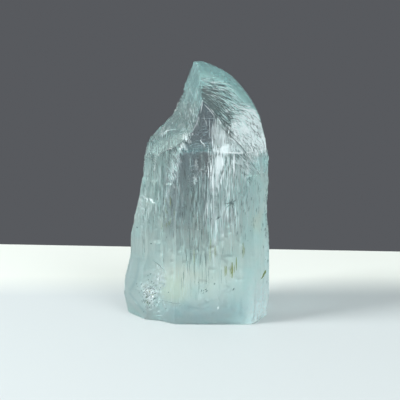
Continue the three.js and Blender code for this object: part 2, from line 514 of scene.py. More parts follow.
# Growth striations: width across, length along the crystal and height, in mm.
STRIATIONS = [(2.6, 30, 0.12), (1.2, 16, 0.11), (0.62, 9, 0.07)]
STRIATION_SEED = 11
# Hackle lines on the curved break: width, length and height, in mm.
HACKLES = [(2.2, 8, 0.16), (0.95, 5, 0.13), (0.5, 3, 0.07)]
HACKLE_SEED = 51
# The arcs of the break are drawn out to this radius, warped and opened to the right, in mm.
ARC_RADIUS = 14
ARC_WARP = 1.6
ARC_OPENING = 0.08

# Depth of the rest of the relief, in mm.
DENT_DEPTH = 0.22
PIT_DEPTH = 0.12
LUMP_DEPTH = 0.12
FOLD_DEPTH = 0.4
BLOCK_DEPTH = 0.26
CHIP_DEPTH = 0.26
WEAR_DEPTH = 0.34
CRUSH_DEPTH = 0.5
LUMP_STEPS = 7
BLOCK_STEPS = 6

# How far the foot is worn round and how far its outline wanders, as shares of its width.
FOOT_WEAR = 0.022
FOOT_WANDER = 0.02
FOOT_WEAR_TOP = 1.3
# The radius and height over which the outline wanders by one lump, in mm.
FOOT_RING = 6
FOOT_RISE = 2


def arc_coordinates(places):
    """Distance from the hub of the break and the run along its arcs, in mm."""
    distance, heading = polar_about_hub(places)
    warp = ARC_WARP * noise(WARPING, places) + ARC_OPENING * places[:, 0]
    return distance + warp, heading * ARC_RADIUS


def carved_depth(places, masks, distance, run):
    """How deep the fine relief goes in from the flat faces, in mm."""
    outside = 1 - masks.window
    ribbed = masks.walls * (1 - 0.85 * masks.window) * (1 - 0.6 * masks.shoulder)
    depth = DENT_DEPTH * noise(DENTS, places) * masks.walls * outside
    for number, (width, length, height) in enumerate(STRIATIONS):
        lines = creases(places / (width, width, length), STRIATION_SEED + number)
        depth += ribbed * masks.grown * height * lines
    for number, (width, length, height) in enumerate(HACKLES):
        along = np.column_stack([distance / width, run / length, places[:, 1] / length])
        lines = creases(along, HACKLE_SEED + number)
        depth += masks.curved * masks.hackled * height * lines
    lumps = terraced(noise(LUMPS, places), LUMP_STEPS)
    blocks = terraced(noise(BLOCKS, places), BLOCK_STEPS)
    depth += PIT_DEPTH * noise(PITS, places) * ribbed * outside
    depth += LUMP_DEPTH * lumps * masks.left_top * (1 - masks.spire)
    depth += FOLD_DEPTH * noise(FOLDS, places) * masks.left_top * (1 - 0.6 * masks.spire)
    depth += BLOCK_DEPTH * blocks * masks.ragged
    depth += CHIP_DEPTH * noise(CHIPS, places) * masks.chipped
    depth += WEAR_DEPTH * noise(WEAR, places) * masks.worn
    depth += CRUSH_DEPTH * noise(CRUSHING, places) * masks.crushed
    return depth * (1 - masks.foot)


def worn_foot(places):
    """The same places (mm), with the foot's outline worn round and a little uneven."""
    x, y, z = places.T
    turn = np.arctan2(y, x)
    ring = [FOOT_RING * np.cos(turn), FOOT_RING * np.sin(turn), z / FOOT_RISE]
    uneven = FOOT_WANDER * noise(FOOT_LUMPS, np.column_stack(ring)) * falling(UNEVEN_FOOT, z)
    rounded = FOOT_WEAR * np.clip(1 - z / FOOT_WEAR_TOP, 0, 1) ** 2
    worn = places.copy()
    worn[:, :2] *= (1 - uneven - rounded)[:, None]
    return worn


# ---- the crystal's colour, frost and streaks ----

PALE = (0.89, 0.93, 0.9)
TEAL = (0.69, 1, 1)
GLOW = (1, 1, 0.8)
MOSS = (0.72, 0.82, 0.8)
WARM = (1, 0.96, 0.79)
BLUE = (0.79, 0.89, 0.93)
DULL = (0.55, 0.66, 0.68)
SLATE = (0.6, 0.69, 0.76)
DUSK = (0.52, 0.61, 0.66)
LIGHT = (1, 1, 1)
GREEN = (0.72, 0.85, 0.79)
ASHEN = (0.88, 0.86, 0.81)
INKY = (0.42, 0.47, 0.47)
BROWN = (0.46, 0.43, 0.42)
ROSY = (1, 0.91, 0.91)

# Painted shade under the left shoulder: the points of its line (x and z in mm) and its reach.
SHOULDER_LINE = [(-8.6, 29.2), (-6.2, 30.1), (-3.7, 31.5), (-2.2, 32.4)]
SHOULDER_SHADE = 1.9
# Soft lines on the front: colour, half width in mm, and the x and z that they pass.
# Most dark ones are painted shade in creases round the scoop and under the shoulder and a ledge;
# most light ones are painted highlights along the left rim, the scoop's rim and the right
# corner.
SOFT_LINES = [
    (INKY, SHOULDER_SHADE, SHOULDER_LINE),
    (INKY, 0.7, [(2.8, 29.6), (5.5, 29.35), (9, 29.1), (12.2, 28.8)]),
    (DULL, 0.45, [(-10.2, 10.6), (-10.4, 8.6), (-10.9, 6.4), (-11.8, 4.6)]),
    (LIGHT, 0.5, [(-11.6, 9.8), (-12.3, 7.4), (-12.6, 4.6), (-12.3, 2.4)]),
    (DULL, 0.4, [(-11.9, 4), (-11, 2.9), (-10, 1.8), (-9.2, 1.3)]),
    (LIGHT, 0.4, [(-12, 2.7), (-11, 1.5), (-9.8, 0.7)]),
    (LIGHT, 0.5, [(-9.3, 8.4), (-8, 8.9), (-6.4, 8.2)]),
    (DULL, 0.22, [(-7.6, 10.9), (-6.5, 10.2), (-5.6, 9.2)]),
    (LIGHT, 0.6, [(9.2, 1.2), (10.6, 2.2), (11.4, 4.4)]),
    (DULL, 0.3, [(-1.5, 3.4), (0.6, 3), (2, 3.3)]),
    (DULL, 0.6, [(-5.3, 24.2), (-4.8, 21.8), (-3.5, 20.6), (-2.5, 21.4)]),
    (LIGHT, 0.35, [(-4.7, 23.2), (-3.9, 24.3), (-2.8, 23.6), (-2.4, 22.3)]),
]
SOFT_LINE_STRENGTH = 0.75


def broad_tints(places, masks):
    """The broad tints as pairs of colour and share, in the order of laying on."""
    x, y, z = places.T
    around = 1 - masks.back
    warm = near(WARM_MIDDLE, places) + 0.8 * near(WARM_RIGHT, places)
    border = z + 2 * noise(BORDER, places) - 1
    clouds = noise(CLOUDS, places) * (1 - masks.spire)
    return [
        (TEAL, rising(TEAL_TIP, z + 0.25 * x) * (1 - masks.window)),
        (ASHEN, 0.3 * falling(ASHEN_PART, z)),
        (WARM, warm * around * (0.5 + 0.5 * noise(PATCHY, places))),
        (BLUE, falling(BLUE_FOOT, border) * rising(BLUE_FOOT_LEFT, x)),
        (TEAL, 0.45 * clouds),
        (GREEN, 0.8 * near(LEFT_FLANK, places) * around),
        (MOSS, 0.8 * masks.scoop),
        (MOSS, 0.8 * near(LEFT_FOOT, places) * around),
    ]


def upper_tints(places, normals, masks):
    """The tints of the ledges, the left slope and the window, in order; the ledge tops and the
    slope get painted shade.
    """
    z = places[:, 2]
    # Painted shade on the left slope and the shoulder, where their faces catch the light from
    # above.
    slope = 0.55 * (masks.left_top + masks.shoulder) * rising(DARK_SLOPE, z)
    slope *= falling(DARK_SLOPE_TOP, z) * noise(SLOPE_MARKS, places)
    return [
        # painted shade on the ledge tops, dimming the floor's light seen through them
        (BROWN, top_of_ledge(places, normals)),
        (INKY, slope),
        (SLATE, masks.window * rising(SLATE_WINDOW, z)),
        (BROWN, 0.6 * near(IN_WINDOW, places) * masks.window),
    ]


def front_tints(places, masks):
    """The front's hazes and patches in order; painted shade in the scoop and right flank,
    painted light by the star.
    """
    x, y, z = places.T
    mottled = noise(MOTTLING, places) * near(MOTTLED, places)
    return [
        (LIGHT, 0.5 * noise(PATCHY, places) * falling(HAZE, z)),
        # painted shade in the scoop
        (DULL, 0.12 * masks.scoop),
        (DULL, 0.6 * mottled * masks.front),
        (DUSK, 0.7 * near(BY_WINDOW, places) * masks.front),
        (DULL, 0.16 * rising(DULL_SIDE, x) * falling(DULL_RIGHT, z)),
        # painted shade on the right flank
        (DULL, 0.4 * near(RIGHT_FLANK, places) * masks.front),
        # painted light beside the star
        (LIGHT, 0.5 * near(BY_STAR, places) * masks.front),
    ]


def small_tints(places, masks):
    """The worn corner, the smooth patch, the painted glow and the crumbs, in order."""
    smooth = near(SMOOTH, places) * masks.front
    crumbs = noise(CRUMBS, places)
    return [
        (ROSY, np.clip(masks.worn * (0.6 + 0.5 * noise(SPOTS, places)), 0, 1)),
        (LIGHT, smooth),
        (TEAL, 0.8 * smooth),
        # painted glow: the pale floor's light seen through the crystal's foot
        (GLOW, near(GLOWING, places) * masks.front),
        (LIGHT, masks.crushed * rising(PALE_CRUMBS, crumbs)),
        (INKY, masks.crushed * falling(DARK_CRUMBS, crumbs)),
    ]


def tints(places, normals, masks):
    """The crystal's colour: teal at the tip, pale below, warm low in the middle, with painted
    shade and light in places.
    """
    layers = broad_tints(places, masks) + upper_tints(places, normals, masks)
    layers += front_tints(places, masks) + small_tints(places, masks)
    for colour, reach, points in SOFT_LINES:
        share = SOFT_LINE_STRENGTH * line_shade(places, points, reach)
        layers.append((colour, share * masks.front))
    colour = np.tile(PALE, (len(places), 1))
    for target, share in layers:
        colour += (np.array(target) - colour) * share[:, None]
    return colour


def clear_share(places, masks):
    """How clear the surface is: the window, the left top and most of the break."""
    distance, heading = polar_about_hub(places)
    bright = rising(BRIGHT_SIDE, places[:, 0]) * falling(BRIGHT_RIM, distance)
    low_fan = masks.hackled * falling(LOW_FAN, np.degrees(heading))
    bright = np.maximum(bright, 0.8 * low_fan)
    clear = masks.window + 0.35 * masks.left_top + 0.7 * masks.curved * (1 - bright)
    underside = line_shade(places, SHOULDER_LINE, SHOULDER_SHADE)
    return np.clip(clear + 0.4 * underside * masks.shoulder, 0, 1)


def frost_share(places, normals, masks):
    """How frosted the surface is, from 0 to 1."""
    x, y, z = places.T
    milky = falling(MILKY_PART, z - 0.4 * np.abs(x))
    frost = 0.45 + 0.3 * noise(FROSTING, places) + 0.35 * milky
    frost = np.clip(frost, 0, 1) * (1 - clear_share(places, masks))
    frost = np.maximum(frost, masks.back * falling(FROSTED_BACK, z))
    frost = np.maximum(frost, (1 - masks.steep) * falling(FROSTED_LEDGES, z))
    return frost * (1 - 0.9 * top_of_ledge(places, normals))


def streak_share(places, masks):
    """How strongly the fine growth lines show, from 0 to 1."""
    patchy = 0.35 + 0.65 * noise(STREAKS, places)
    streaks = masks.walls * (1 - 0.8 * masks.window) * masks.grown * patchy
    return streaks * (1 - near(SMOOTH, places))


def grain_share(masks):
    """How grainy the surface is, from 0 to 1."""
    grain = 0.4 * masks.left_top + 0.3 * masks.steep + masks.crushed
    return np.clip(grain + 0.5 * masks.worn, 0, 1)


# ---- the crystal ----

VOXEL = 0.21 * MM  # the remeshed crystal's cells
BASE_GAP = 0.03  # how far its foot stays above the floor, in mm
SHARP_EDGE = math.radians(35)
TOPAZ_IOR = 1.62
TOPAZ_TRANSMISSION = 0.96
TOPAZ_ABSORPTION = (0.2, 0.77, 0.78)
TOPAZ_DENSITY = 16
# Roughness where the surface is clear and where it is frosted.
TOPAZ_ROUGHNESS = (0.02, 0.44)
BUMP_DEPTH = 0.16 * MM
# Fine noises: size of a cell in metres (for the barbs along the arcs, in mm) and detail.
FINE_LINES = ((0.26 * MM, 0.26 * MM, 8 * MM), 3)
BROAD_LINES = ((0.8 * MM, 0.8 * MM, 24 * MM), 1)
SPECKS = ((0.4 * MM, 0.4 * MM, 0.6 * MM), 3)
SCORES = ((0.3 * MM, 0.3 * MM, 5 * MM), 2)
BARBS = ((0.32, 2.6, 1.6), 3)
# Weights of the broad lines and the barbs in the bump.
BROAD_WEIGHT = 1.5
BARB_WEIGHT = 2
# Below this range of their noise the scores darken the colour by the whole loss.
SCORE_RANGE = (0.36, 0.54)
SCORE_LOSS = 0.34


def remeshed_crystal():
    """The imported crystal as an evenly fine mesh."""
    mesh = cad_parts["crystal"].data.copy()
    work = bmesh.new()
    work.from_mesh(mesh)
    bmesh.ops.remove_doubles(work, verts=work.verts, dist=1e-6)
    work.to_mesh(mesh)
    work.free()
    piece = bpy.data.objects.new("topaz", mesh)
    bpy.context.scene.collection.objects.link(piece)
    remesh = piece.modifiers.new("remesh", "REMESH")
    remesh.mode = "VOXEL"
    remesh.voxel_size = VOXEL
    depsgraph = bpy.context.evaluated_depsgraph_get()
    fine = bpy.data.meshes.new_from_object(piece.evaluated_get(depsgraph))
    piece.modifiers.clear()
    piece.data = fine
    fine.name = "topaz"
    return piece


def vectors_of(items, field):
    flat = np.empty(len(items) * 3)
    items.foreach_get(field, flat)
    return flat.reshape(-1, 3)


def store(mesh, name, values):
    """Keeps a number or a vector for every vertex, for the material to read."""
    kind, field = ("FLOAT_VECTOR", "vector") if values.ndim > 1 else ("FLOAT", "value")
    mesh.attributes.new(name, kind, "POINT").data.foreach_set(field, values.ravel())


def carve(piece):
    """Gives the mesh its fine relief, and stores what the material reads from it."""
    mesh = piece.data
    places = vectors_of(mesh.vertices, "co") / MM
    normals = vectors_of(mesh.vertices, "normal")
    masks = main_masks(places, normals)
    add_small_masks(masks, places)
    distance, run = arc_coordinates(places)
    depth = carved_depth(places, masks, distance, run)
    carved = worn_foot(places - normals * depth[:, None])
    lowest = np.array(LOW) / MM + (0, 0, BASE_GAP)
    carved = np.clip(carved, lowest, np.array(HIGH) / MM)
    mesh.vertices.foreach_set("co", (carved * MM).ravel())
    mesh.update()
    store(mesh, "streaks", streak_share(places, masks))
    store(mesh, "hackles", masks.curved * masks.hackled)
    store(mesh, "grain", grain_share(masks))
    store(mesh, "frost", frost_share(places, normals, masks))
    store(mesh, "arc", np.column_stack([distance, run, places[:, 1]]))
    store(mesh, "tint", tints(places, normals, masks))


def scored_tint(material, place, streaks):
    """The stored tint, darkened in the scores."""
    scores = stretched_noise(material, place, *SCORES)
    loss = remapped(material, scores, SCORE_RANGE, (SCORE_LOSS, 0))
    kept = arithmetic(material, "SUBTRACT", 1, product(material, loss, streaks))
    scored = add_node(material, "VectorMath")
    scored.operation = "SCALE"
    feed(scored, {0: stored(material, "tint", "Color"), "Scale": kept})
    return scored.outputs["Vector"]


def surface_height(material, place, streaks):
    """Growth lines, barbs on the break and specks, as one height for the bump."""
    fine = stretched_noise(material, place, *FINE_LINES)
    broad = stretched_noise(material, place, *BROAD_LINES)
    barbs = stretched_noise(material, stored(material, "arc", "Vector"), *BARBS)
    specks = stretched_noise(material, place, *SPECKS)
    lines = arithmetic(material, "ADD", fine, product(material, broad, BROAD_WEIGHT))
    lines = product(material, lines, streaks)
    hackles = product(material, stored(material, "hackles"), BARB_WEIGHT)
    barbs = product(material, barbs, hackles)
    specks = product(material, specks, stored(material, "grain"))
    height = arithmetic(material, "ADD", lines, barbs)
    return arithmetic(material, "ADD", height, specks)


def add_bump(material, height):
    bump = add_node(material, "Bump", {"Distance": BUMP_DEPTH, "Height": height})
    feed_shader(material, {"Normal": bump.outputs["Normal"]})


def add_absorption(material):
    values = {"Color": TOPAZ_ABSORPTION, "Density": TOPAZ_DENSITY}
    absorb = add_node(material, "VolumeAbsorption", values)
    feed(material.node_tree.nodes["Material Output"], {"Volume": absorb.outputs["Volume"]})


def topaz_material():
    material = bpy.data.materials.new("topaz")
    material.use_nodes = True
    feed_shader(material, {"IOR": TOPAZ_IOR, "Transmission Weight": TOPAZ_TRANSMISSION})
    place = add_node(material, "TexCoord").outputs["Object"]
    streaks = stored(material, "streaks")
    feed_shader(material, {"Base Color": scored_tint(material, place, streaks)})
    add_bump(material, surface_height(material, place, streaks))
    roughness = remapped(material, stored(material, "frost"), (0, 1), TOPAZ_ROUGHNESS)
    feed_shader(material, {"Roughness": roughness})
    add_absorption(material)
    return material


def make_crystal():
    piece = remeshed_crystal()
    carve(piece)
    piece.data.materials.clear()
    piece.data.materials.append(topaz_material())
    piece.data.shade_smooth()
    piece.data.set_sharp_from_angle(angle=SHARP_EDGE)
    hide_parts("crystal")
    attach(piece, "root")
    return piece


# ---- lines inside the crystal ----

RAY_START = 30  # how far in front the rays start that find the surface, in mm
FACING_LIMIT = -0.08  # how far a face has to look to the front, as part of its normal
SLIVER_THICKNESS = 0.06
SLIVER_TAPER = (0.12, 0.6)  # the least width, as a share, and how full the middle is
FEATHER_STEPS = 7
STROKE_STEP = 0.6
CURVE_STEPS = 4  # stations for every point of a curve
CURVE_DEPTH = 0.04
# How far single strokes lean away from their kind's lean, in degrees: upright kinds, others.
UPRIGHT_SCATTER = 1.2
LEANING_SCATTER = 14
SMOOTH_LIMIT = 0.3  # no strokes where the smooth patch is stronger than this

# Colour and roughness of what is inside, and of the painted highlights on the front.
VEIL_AND_HIGHLIGHT = ((0.9, 0.99, 1), 0.45)
VEIL_AND_HIGHLIGHT_TRANSMISSION = 0.03
VEIL_AND_HIGHLIGHT_IOR = 1.3
MILK = ((0.62, 0.84, 0.82), 0.6)
HOLLOW_TUBE = ((0.1, 0.15, 0.15), 0.4)
IRON_STAIN = ((0.23, 0.28, 0.08), 0.7)

# The fan of feather lines in the break, as an angle about the hub in degrees with the
# distances from the hub (mm) between which the fan lies there.
FAN = [(14, 11.6, 13.9), (30, 10, 14.2), (50, 9.9, 13.6), (66, 10.9, 14.8), (80, 12.5, 15)]

# Lines in the fan: how many, angles they start at, how far across the fan they start (0 is
# its inner border), sweep in degrees, drift across the fan, and width in mm.
# The white of the fan is partly the hackle lines and partly painted highlight.
WHITE_FEATHERS = [
    (120, (52, 84), (0, 1), (8, 24), (-0.1, 0.5), (0.03, 0.11)),
    (170, (24, 58), (0.1, 1), (7, 20), (-0.3, 0.6), (0.04, 0.15)),
    (560, (16, 50), (-0.05, 1.05), (4, 12), (-0.3, 0.4), (0.06, 0.26)),
    # painted highlights near the fan's right rim
    (120, (14, 30), (0.45, 1.1), (2, 8), (-0.2, 0.3), (0.08, 0.26)),
    (90, (32, 48), (0.55, 1.15), (3, 9), (-0.1, 0.3), (0.06, 0.2)),
    (130, (12, 44), (-0.5, 0.2), (6, 18), (-0.2, 0.3), (0.03, 0.1)),
]
MILKY_FEATHERS = [
    (90, (46, 80), (0.1, 1), (8, 22), (-0.1, 0.5), (0.03, 0.1)),
    (170, (15, 54), (0, 1.1), (4, 12), (-0.3, 0.4), (0.03, 0.1)),
]
DARK_FEATHERS = [
    (140, (53, 84), (-0.1, 0.6), (4, 12), (-0.1, 0.3), (0.04, 0.18)),
    (44, (64, 82), (-0.1, 0.45), (5, 10), (-0.05, 0.1), (0.08, 0.26)),
    (44, (60, 78), (0.5, 1), (3, 8), (-0.1, 0.2), (0.05, 0.2)),
    (210, (16, 56), (0, 1.05), (3, 10), (-0.3, 0.2), (0.03, 0.11)),
]
# How deep the feathers lie under the surface, in mm.
WHITE_DEPTHS = (-0.01, 0.05)
MILKY_DEPTHS = (-0.04, 0.03)
DARK_DEPTHS = (-0.05, 0.03)

# Common widths of strokes, and depths under the surface (below 0 they stand out), in mm.
HAIR = (0.02, 0.05)
THIN = (0.03, 0.07)
FINE = (0.03, 0.08)
WIDE = (0.03, 0.09)
IN_SKIN = (-0.02, 0.03)
AT_SKIN = (-0.02, 0.02)
ON_SKIN = (-0.03, 0.02)
BY_SKIN = (-0.03, 0.03)
PROUD = (-0.05, -0.02)

# Strokes on and under the front: how many, middle and spread (x, z), length, width and
# depth under the surface, in mm, and lean from upright in degrees.
WHITE_STROKES = [
    # the ledge below the break, over it, higher up, under the fan
    (70, (4.3, 30.4), (0.45, 0.25), (0.4, 1), (0.05, 0.16), (-0.04, 0), 0),
    (110, (5.1, 30.6), (1.2, 0.35), (0.4, 1.6), WIDE, AT_SKIN, 0),
    (60, (4.6, 31.6), (0.9, 0.8), (0.8, 2.4), THIN, IN_SKIN, 0),
    (110, (3.5, 33.2), (0.7, 1.3), (0.6, 2.4), WIDE, IN_SKIN, 0),
    # the bright patch (a painted highlight), its lower end, round it, a lone streak, right of
    # that
    (120, (3.7, 28.2), (0.28, 0.55), (0.5, 1.6), (0.05, 0.18), (-0.04, 0), 0),
    (60, (3.3, 25.8), (0.6, 0.9), (0.6, 2.2), (0.03, 0.11), (-0.04, 0), 0),
    (70, (4.4, 28.3), (0.9, 0.9), (0.5, 2.2), FINE, IN_SKIN, 0),
    (9, (6.15, 28), (0.06, 0.4), (3, 4.5), (0.06, 0.14), (-0.04, 0.02), 0),
    (260, (5.8, 27.2), (1.9, 1.6), (0.5, 2.2), FINE, (-0.02, 0.1), 0),
    # the window's right border, inside that, by the star
    (26, (3, 21), (0.35, 4.8), (3, 8), FINE, (-0.01, 0.03), 0),
    (70, (1.9, 21.2), (0.45, 2.4), (0.8, 3.6), FINE, (-0.01, 0.1), 0),
    (60, (5.7, 20.4), (0.8, 3), (0.8, 3), FINE, IN_SKIN, 0),
    # the window's left border, downwards from the heart: a painted highlight along the edge
    (44, (-1.8, 32.5), (0.5, 0.8), (0.3, 1.2), FINE, AT_SKIN, -8),
    (22, (-2.4, 30.6), (0.3, 0.4), (0.3, 0.9), (0.03, 0.1), IN_SKIN, -20),
    (30, (-3.3, 28.2), (0.4, 0.9), (0.3, 1.1), (0.02, 0.08), IN_SKIN, -25),
    (44, (-4.2, 25.9), (0.4, 1.2), (0.3, 1), (0.02, 0.08), IN_SKIN, -20),
    # the spire's left face
    (26, (-0.6, 35.9), (0.6, 0.8), (0.3, 1.2), THIN, IN_SKIN, -12),
    (40, (-0.9, 37.6), (1.1, 2.6), (0.3, 1.2), HAIR, IN_SKIN, -12),
    # blob and level band in the window
    (14, (-0.2, 25.4), (0.34, 0.24), (0.2, 0.6), (0.04, 0.11), (-0.02, 0.06), 60),
    (26, (-1, 31), (1.4, 0.35), (0.6, 1.8), (0.03, 0.06), (0, 0.3), 89),
    # the left ledge, under it
    (30, (-8.4, 21), (0.6, 0.25), (0.2, 0.8), (0.03, 0.1), BY_SKIN, -60),
    (60, (-9.2, 18.6), (0.7, 1.3), (0.1, 0.5), WIDE, ON_SKIN, -30),
    # the lower window, right of it
    (130, (0.9, 18.6), (2.2, 3.4), (0.6, 4), FINE, (0, 0.4), 0),
    (70, (4, 20.4), (1.2, 3.6), (0.8, 4.5), THIN, ON_SKIN, 0),
    # the break's tail, ripples and specks in the window, the left slope
    (60, (8, 27.8), (0.9, 1.2), (0.6, 2.2), FINE, ON_SKIN, -39),
    (60, (0.6, 33), (0.9, 2.2), (0.3, 1.1), (0.025, 0.06), (0, 0.6), 88),
    (100, (0.9, 27.2), (1.2, 1.1), (0.15, 0.35), (0.04, 0.09), (-0.02, 0.05), 45),
    (50, (-5.2, 32), (1.7, 2), (0.3, 1.4), FINE, (0, 0.2), -20),
    # the crushed patch, its clumps, above, right of, below and over it
    (160, (-8, 4.8), (0.8, 1.1), (0.1, 0.35), (0.06, 0.18), (-0.08, 0), 30),
    (34, (-8.3, 5), (0.6, 0.7), (0.15, 0.4), (0.08, 0.2), (-0.08, 0), 30),
    (80, (-6.6, 7.4), (0.5, 1.2), (0.1, 0.3), (0.04, 0.1), (-0.06, 0), 30),
    (26, (-5.3, 3.6), (0.9, 0.35), (0.1, 0.3), (0.04, 0.09), (-0.04, 0), 40),
    (26, (-7, 1.8), (0.9, 0.35), (0.1, 0.3), (0.04, 0.09), (-0.04, 0), 40),
    (30, (-6.2, 9), (0.5, 0.7), (0.2, 0.6), (0.04, 0.1), ON_SKIN, 0),
    # the right edge high and low, both flanks, the left rim high and low; the edges and rims are
    # painted highlights
    (30, (12, 21.5), (0.25, 3), (0.2, 0.9), (0.05, 0.14), (0.02, 0.06), 0),
    (12, (11.9, 11.3), (0.12, 0.9), (0.2, 0.7), (0.06, 0.16), (0, 0.05), 0),
    (50, (8, 21), (2.2, 4.5), (0.5, 2.8), THIN, ON_SKIN, 0),
    (60, (-7, 23), (2, 4), (0.3, 2.2), (0.03, 0.06), ON_SKIN, 0),
    (40, (-11.8, 14), (0.12, 3.2), (0.3, 1.3), (0.04, 0.1), AT_SKIN, 8),
    (40, (-12.9, 6), (0.12, 2.4), (0.3, 1.3), (0.04, 0.1), AT_SKIN, 8),
    # the worn corner, the glow, the foot
    (520, (11, 2.2), (0.9, 1.1), (0.1, 0.4), WIDE, (-0.05, 0), 0),
    (46, (-2.2, 7.2), (2.2, 1.7), (0.6, 2.2), HAIR, AT_SKIN, 0),
    (60, (0, 3.6), (8, 1), (0.1, 0.3), FINE, ON_SKIN, 90),
    # single glints
    (3, (3.57, 3.12), (0.04, 0.12), (0.4, 0.6), (0.14, 0.2), PROUD, 0),
    (3, (10.49, 3.46), (0.04, 0.1), (0.3, 0.5), (0.12, 0.2), PROUD, 0),
    (5, (11.8, 12.5), (0.08, 0.2), (0.3, 0.5), (0.12, 0.2), PROUD, 0),
    (5, (12, 10.7), (0.08, 0.15), (0.3, 0.5), (0.12, 0.2), PROUD, 0),
    (14, (11, 4.6), (0.5, 0.9), (0.2, 0.5), (0.06, 0.14), PROUD, 40),
]
MILKY_STROKES = [
    # right half, left half, below the window, in it, the shoulder
    (430, (6, 23.5), (2.4, 3.6), (0.5, 3.4), HAIR, BY_SKIN, 0),
    (170, (-7, 23), (2, 3.8), (0.4, 2.6), HAIR, BY_SKIN, 0),
    (170, (0, 15.5), (3.4, 2.6), (0.6, 3.6), HAIR, BY_SKIN, 0),
    (120, (-1, 20), (2.4, 3), (0.3, 1.6), (0.025, 0.06), (0, 0.1), 0),
    (90, (-5.6, 30.4), (1.9, 1.2), (0.3, 1.4), (0.02, 0.06), BY_SKIN, 0),
    # the window's left border, downwards
    (20, (-2.8, 30.3), (0.4, 0.5), (0.4, 1.2), WIDE, BY_SKIN, -20),
    (26, (-3.6, 27.8), (0.4, 0.9), (0.4, 1.3), FINE, BY_SKIN, -20),
    (18, (-4.6, 25.4), (0.4, 0.8), (0.4, 1.3), FINE, BY_SKIN, -20),
]
DARK_STROKES = [
    # the window, the right half, the right edge, a blot at the window's right border
    (100, (-0.6, 22), (2.2, 4.5), (0.5, 3), (0.04, 0.1), (0, 0.4), 0),
    (150, (7.5, 22), (2.6, 4.2), (0.3, 1.6), THIN, ON_SKIN, 0),
    (70, (12.1, 19), (0.3, 5), (0.2, 0.7), (0.04, 0.1), ON_SKIN, 0),
    (6, (3.5, 18.8), (0.12, 0.12), (0.3, 0.7), (0.08, 0.14), (-0.04, 0), 60),
    # the left half, the break's tail, dots all over, tubes below the window
    (230, (-7, 24), (2, 4.6), (0.3, 1.6), FINE, ON_SKIN, 0),
    (60, (8, 28.2), (1, 1.3), (0.5, 2), FINE, ON_SKIN, -39),
    (110, (1, 22.5), (7, 8), (0.1, 0.22), (0.05, 0.12), (-0.03, 0.1), 0),
    (18, (0.3, 13), (2.2, 1.6), (1.6, 3.8), (0.05, 0.1), AT_SKIN, 0),
    # the crushed patch, tubes above the glow, the spire's left face, the shoulder
    (150, (-8.1, 4.6), (0.9, 1.2), (0.1, 0.35), (0.04, 0.14), (-0.08, -0.02), 30),
    (40, (-1, 11), (2.6, 2.4), (1, 4), (0.03, 0.06), AT_SKIN, 0),
    (150, (-1.4, 36.8), (0.9, 2.4), (0.3, 1.4), (0.04, 0.12), ON_SKIN, -12),
    (80, (-5.6, 30.8), (1.9, 1.2), (0.3, 1.2), THIN, ON_SKIN, 0),
    # single dots
    (3, (-7.9, 13.8), (0.05, 0.05), (0.2, 0.3), (0.08, 0.14), PROUD, 45),
    (3, (-10.4, 15.9), (0.08, 0.05), (0.2, 0.3), (0.08, 0.12), PROUD, 70),
    (3, (3.04, 7.53), (0.05, 0.05), (0.3, 0.4), (0.06, 0.12), PROUD, 20),
    (4, (6.2, 6.48), (0.05, 0.12), (0.3, 0.5), (0.06, 0.12), PROUD, 20),
    (9, (1.18, 6.41), (0.4, 0.2), (0.2, 0.4), (0.06, 0.12), PROUD, 50),
]
# Stains in the crushed patch, below it, and left of the window.
STAIN_STROKES = [
    (8, (-7.9, 4.6), (0.4, 0.5), (0.1, 0.3), (0.06, 0.14), (-0.08, -0.03), 20),
    (8, (-8.6, 3.2), (0.22, 0.25), (0.2, 0.5), (0.1, 0.22), (0, 0.03), 20),
    (16, (-4.9, 19.5), (0.7, 1.6), (0.4, 1.8), (0.04, 0.08), AT_SKIN, 0),
]

# Single curves on the front: width in mm, then the x and z of the points they pass.
# The white curves are mostly painted highlights along the ridges, the window's borders, the
# shoulder and a ledge edge.
WHITE_CURVES = [
    (0.13, [(1.25, 30.9), (1.2, 31.4), (0.8, 31.7), (0.55, 32.1), (0.8, 32.3)]),
    (0.07, [(0.85, 38.6), (0.85, 37.9), (0.6, 36.6)]),
    (0.06, [(0.2, 35.6), (0, 35), (-0.8, 33.4)]),
    (0.07, [(1.25, 38), (2.3, 36.9), (2.9, 36)]),
    (0.06, [(3, 34.8), (3.05, 33.5), (2.9, 30.2), (3, 26.5)]),
    (0.07, [(-10, 21.4), (-9.2, 21.35), (-8.6, 21.2)]),
    (0.06, [(-8.3, 21.3), (-7.7, 21.1), (-7.2, 20.8)]),
    (0.09, [(2.2, 37.4), (2.8, 36.7), (3.3, 36)]),
    (0.16, [(3.4, 35.8), (3.8, 35.2), (4, 34.6)]),
    (0.07, [(4.1, 34.2), (4.3, 32.8), (4.4, 31.4)]),
    (0.09, [(6.4, 31.2), (8.6, 29), (10.4, 27.6)]),
    (0.05, [(-3.2, 33.3), (-4.2, 33.1), (-5.4, 32.6), (-6, 31.8), (-6.2, 31)]),
    (0.08, [(6.2, 30.4), (8.2, 28.2), (11.2, 25.4)]),
    (0.2, [(2.8, 30.2), (5.5, 29.95), (9, 29.7), (12.2, 29.4)]),
]
DARK_CURVES = [
    (0.12, [(3.5, 34.8), (7.5, 30.8), (10.9, 25.1)]),
    (0.1, [(2.2, 37.2), (4.9, 34.2), (7.3, 31.8)]),
    (0.08, [(-7.5, 10.8), (-6.5, 10.2), (-5.6, 9.3)]),
    (0.04, [(-6.2, 4.1), (-4.4, 3.9), (-2.6, 3.95)]),
]
# A small wedge of ochre low on the right, as lines that open out from its tail.
WEDGE = [(0.12, [(10.95 + 0.08 * n, 7.5 + 0.14 * n), (12, 8.1 + 0.1 * n)]) for n in range(6)]

